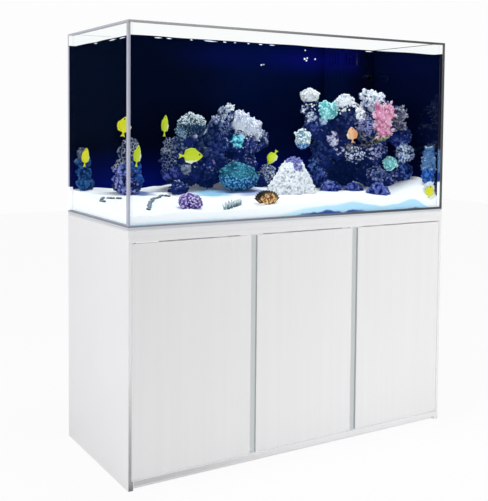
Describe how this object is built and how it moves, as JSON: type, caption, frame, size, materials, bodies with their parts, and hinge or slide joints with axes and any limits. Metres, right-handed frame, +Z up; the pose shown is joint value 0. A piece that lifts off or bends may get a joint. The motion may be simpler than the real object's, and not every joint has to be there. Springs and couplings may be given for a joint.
{
  "type": "aquarium on stand",
  "caption": "Rimless glass reef tank, planted with rock, corals and sand, on a white cabinet whose plain hinged doors open by recessed grip channels.",
  "frame": {"origin": "on the floor, under the centre of the footprint", "axes": "+X to the right seen from the front, -Y the front with the doors, +Z up"},
  "size_m": [1.2, 0.5, 1.34],
  "materials": {
    "tank_glass": "clear polished",
    "clear_silicone": "clear",
    "dark_film": "satin",
    "foam": "matt",
    "sand": "loose coral sand",
    "reef_rock": "porous, crusted",
    "white_board": "white laminate",
    "white_door": "white laminate, satin",
    "back_board": "white lacquer",
    "satin_aluminium": "satin anodised",
    "steel": "zinc plated",
    "black_acrylic": "polished",
    "smoked_acrylic": "polished, smoked",
    "grey_pipe": "extruded",
    "pump_casing": "moulded, fine grain",
    "white_nylon": "moulded",
    "crown_coral": "living polyps",
    "plume_coral": "living polyps",
    "dome_coral": "living polyps",
    "plate_coral": "living polyps",
    "knob_coral": "living polyps",
    "fan_coral": "living polyps",
    "ball_coral": "living polyps",
    "green_coral": "living polyps",
    "twig_coral": "living polyps",
    "brain_coral": "living polyps",
    "clam_valves": "ridged shell"
  },
  "bodies": {
    "cabinet_and_tank": {"base_glass": "tank_glass", "front_glass": "tank_glass", "rear_glass": "tank_glass", "left_glass": "tank_glass", "right_glass": "tank_glass", "floor_seam": "clear_silicone", "corner_seams": "clear_silicone", "background_film": "dark_film", "levelling_mat": "foam", "sand_bed": "sand", "left_reef_rock": "reef_rock", "right_reef_rock": "reef_rock", "rubble_rock": "reef_rock", "corner_rock": "reef_rock", "rear_rock": "reef_rock", "right_end_rock": "reef_rock", "sand_stones": "reef_rock", "brain_coral": "brain_coral", "clam_valves": "clam_valves", "crown_coral": "crown_coral", "plume_coral": "plume_coral", "dome_coral": "dome_coral", "plate_coral": "plate_coral", "knob_coral": "knob_coral", "fan_coral": "fan_coral", "ball_coral": "ball_coral", "green_coral": "green_coral", "twig_coral": "twig_coral", "top_board": "white_board", "left_side_panel": "white_board", "right_side_panel": "white_board", "front_rail": "white_board", "rear_rail": "white_board", "bottom_board": "white_board", "front_plinth": "white_board", "rear_plinth": "white_board", "left_partition": "white_board", "right_partition": "white_board", "back_panel": "back_board", "left_grip_channel": "satin_aluminium", "right_grip_channel": "satin_aluminium", "pivot_pins": "steel", "catch_bodies": "white_nylon", "catch_magnets": "steel", "weir_box": "black_acrylic", "weir_comb": "black_acrylic", "drain_pipe": "grey_pipe", "return_pipe": "grey_pipe", "bulkhead_fittings": "grey_pipe", "sump_box": "smoked_acrylic", "return_pump": "pump_casing"},
    "left_door": {"left_door": "white_door", "left_door_bushes": "white_nylon", "left_strike_plate": "steel"},
    "middle_door": {"middle_door": "white_door", "middle_door_bushes": "white_nylon", "middle_strike_plate": "steel"},
    "right_door": {"right_door": "white_door", "right_door_bushes": "white_nylon", "right_strike_plate": "steel"}
  },
  "joints": [
    {"name": "left_door_hinge", "type": "hinge", "parent": "cabinet_and_tank", "child": "left_door", "pos_m": [-0.5765, -0.242, 0.371], "axis": [0, 0, -1], "range_deg": [0, 105]},
    {"name": "middle_door_hinge", "type": "hinge", "parent": "cabinet_and_tank", "child": "middle_door", "pos_m": [0.1905, -0.242, 0.371], "axis": [0, 0, 1], "range_deg": [0, 90]},
    {"name": "right_door_hinge", "type": "hinge", "parent": "cabinet_and_tank", "child": "right_door", "pos_m": [0.5765, -0.242, 0.371], "axis": [0, 0, 1], "range_deg": [0, 105]}
  ]
}
